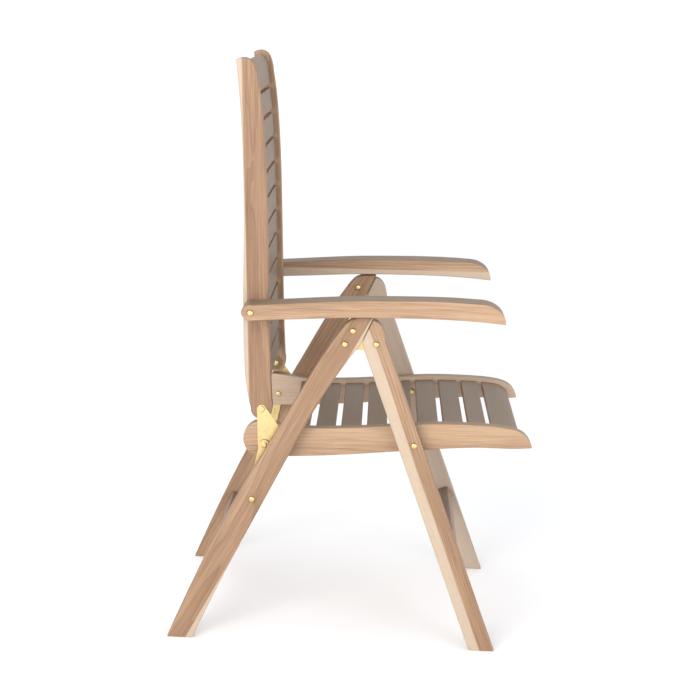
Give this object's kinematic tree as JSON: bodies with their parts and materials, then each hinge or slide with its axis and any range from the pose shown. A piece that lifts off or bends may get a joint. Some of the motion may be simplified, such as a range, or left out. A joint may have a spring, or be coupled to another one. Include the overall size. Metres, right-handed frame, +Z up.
{
  "type": "folding chair",
  "caption": "Folding reclining garden armchair with a high slatted wooden back, dished slatted seat, curved arms and brass hinge fittings.",
  "frame": {"origin": "on the floor, under the middle of the overall length and width with the chair open and upright", "axes": "+X towards the front of the seat, +Y towards the sitter's left, +Z up"},
  "size_m": [0.6776, 0.583, 1.0997],
  "materials": {
    "teak": "oiled satin teak, sapwood streaks",
    "brass": "polished, slightly brushed"
  },
  "bodies": {
    "rear_frame": {"rear_leg_left": "teak", "rear_leg_right": "teak", "rear_stretcher": "teak", "apex_plate_left": "brass", "apex_plate_right": "brass", "apex_bolts": "brass", "front_leg_pivot_bolts": "brass", "link_pivot_bolts": "brass", "link_pivot_spacers": "brass"},
    "front_frame": {"front_leg_left": "teak", "front_leg_right": "teak", "front_stretcher": "teak", "seat_pivot_bolts": "brass", "seat_pivot_spacers": "brass"},
    "seat": {"seat_rail_left": "teak", "seat_rail_right": "teak", "seat_slat_1": "teak", "seat_slat_2": "teak", "seat_slat_3": "teak", "seat_slat_4": "teak", "seat_slat_5": "teak", "seat_slat_6": "teak", "seat_slat_7": "teak", "seat_slat_8": "teak", "seat_slat_9": "teak", "seat_plate_left": "brass", "seat_plate_right": "brass", "plate_screws": "brass", "link_bolt_inner_ends": "brass"},
    "links": {"link_left": "brass", "link_right": "brass", "link_bolts": "brass"},
    "back_bolts": {"back_pivot_bolts": "brass", "back_pivot_washers": "brass"},
    "back": {"back_stile_left": "teak", "back_stile_right": "teak", "back_bottom_rail": "teak", "back_top_rail": "teak", "back_slat_1": "teak", "back_slat_10": "teak", "back_slat_2": "teak", "back_slat_3": "teak", "back_slat_4": "teak", "back_slat_5": "teak", "back_slat_6": "teak", "back_slat_7": "teak", "back_slat_8": "teak", "back_slat_9": "teak"},
    "arm_bolt_left": {"arm_bolt_left": "brass", "arm_spacer_left": "brass"},
    "arm_bolt_right": {"arm_bolt_right": "brass", "arm_spacer_right": "brass"},
    "armrest_left": {"armrest_left": "teak"},
    "armrest_right": {"armrest_right": "teak"}
  },
  "joints": [
    {"name": "fold", "type": "hinge", "parent": "rear_frame", "child": "front_frame", "pos_m": [0.0366, 0, 0.5873], "axis": [0, 1, 0], "range_deg": [0, 46]},
    {"name": "seat_fold", "type": "hinge", "parent": "front_frame", "child": "seat", "pos_m": [0.1154, 0, 0.3975], "axis": [0, -1, 0], "range_deg": [0, 86.1]},
    {"name": "link_fold", "type": "hinge", "parent": "rear_frame", "child": "links", "pos_m": [-0.1849, 0, 0.2805], "axis": [0, -1, 0], "range_deg": [0, 150.6]},
    {"name": "back_fold", "type": "hinge", "parent": "seat", "child": "back_bolts", "pos_m": [-0.174, 0, 0.447], "axis": [0, 1, 0], "range_deg": [0, 71.4]},
    {"name": "recline", "type": "hinge", "parent": "back_bolts", "child": "back", "pos_m": [-0.174, 0, 0.447], "axis": [0, -1, 0], "range_deg": [0, 30]},
    {"name": "arm_lift_left", "type": "hinge", "parent": "back", "child": "arm_bolt_left", "pos_m": [-0.1965, 0.247, 0.6405], "axis": [0, -1, 0], "range_deg": [0, 100.1]},
    {"name": "arm_follow_left", "type": "hinge", "parent": "arm_bolt_left", "child": "armrest_left", "pos_m": [-0.1965, 0.247, 0.6405], "axis": [0, 1, 0], "range_deg": [0, 24.4]},
    {"name": "arm_lift_right", "type": "hinge", "parent": "back", "child": "arm_bolt_right", "pos_m": [-0.1965, -0.247, 0.6405], "axis": [0, -1, 0], "range_deg": [0, 100.1]},
    {"name": "arm_follow_right", "type": "hinge", "parent": "arm_bolt_right", "child": "armrest_right", "pos_m": [-0.1965, -0.247, 0.6405], "axis": [0, 1, 0], "range_deg": [0, 24.4]}
  ],
  "couplings": [
    {"joint": "seat_fold", "follows": "fold", "ratio": 1.8696},
    {"joint": "link_fold", "follows": "fold", "ratio": 3.27},
    {"joint": "back_fold", "follows": "fold", "ratio": 1.55},
    {"joint": "arm_lift_left", "follows": "fold", "ratio": 2.174},
    {"joint": "arm_follow_left", "follows": "recline", "ratio": 0.79},
    {"joint": "arm_lift_right", "follows": "fold", "ratio": 2.174},
    {"joint": "arm_follow_right", "follows": "recline", "ratio": 0.79}
  ]
}
